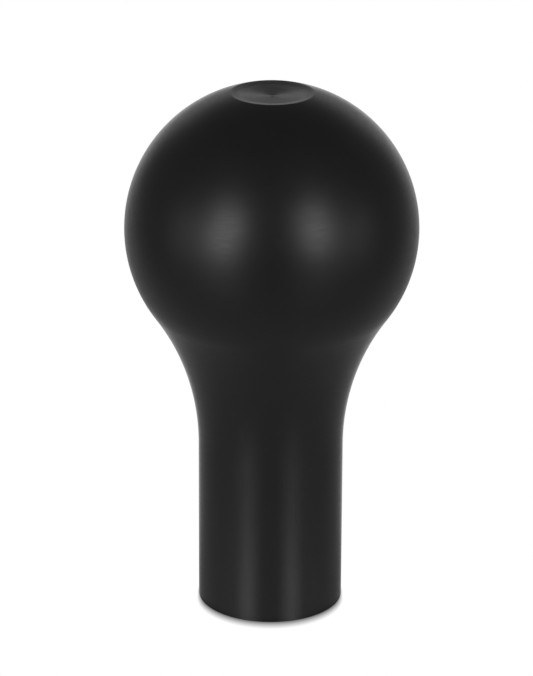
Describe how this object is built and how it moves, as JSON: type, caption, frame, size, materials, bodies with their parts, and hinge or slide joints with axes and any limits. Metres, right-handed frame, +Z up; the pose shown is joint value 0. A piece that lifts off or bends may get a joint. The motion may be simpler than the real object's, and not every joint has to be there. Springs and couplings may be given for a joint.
{
  "type": "gear shift knob",
  "caption": "Turned ball gear shift knob with a flared neck, a shallow finger dish in its crown and a blind tapped hole in its foot for the shift lever.",
  "frame": {"origin": "centre of the flat foot, where the shift lever goes in", "axes": "+Z up the turning axis from the foot to the ball's crown; the knob looks the same all round, so +X and +Y are free"},
  "size_m": [0.0508, 0.0508, 0.0934],
  "materials": {
    "black_acetal": "satin, fine turning marks round the axis"
  },
  "bodies": {
    "root": {"shift_knob": "black_acetal"}
  },
  "joints": []
}
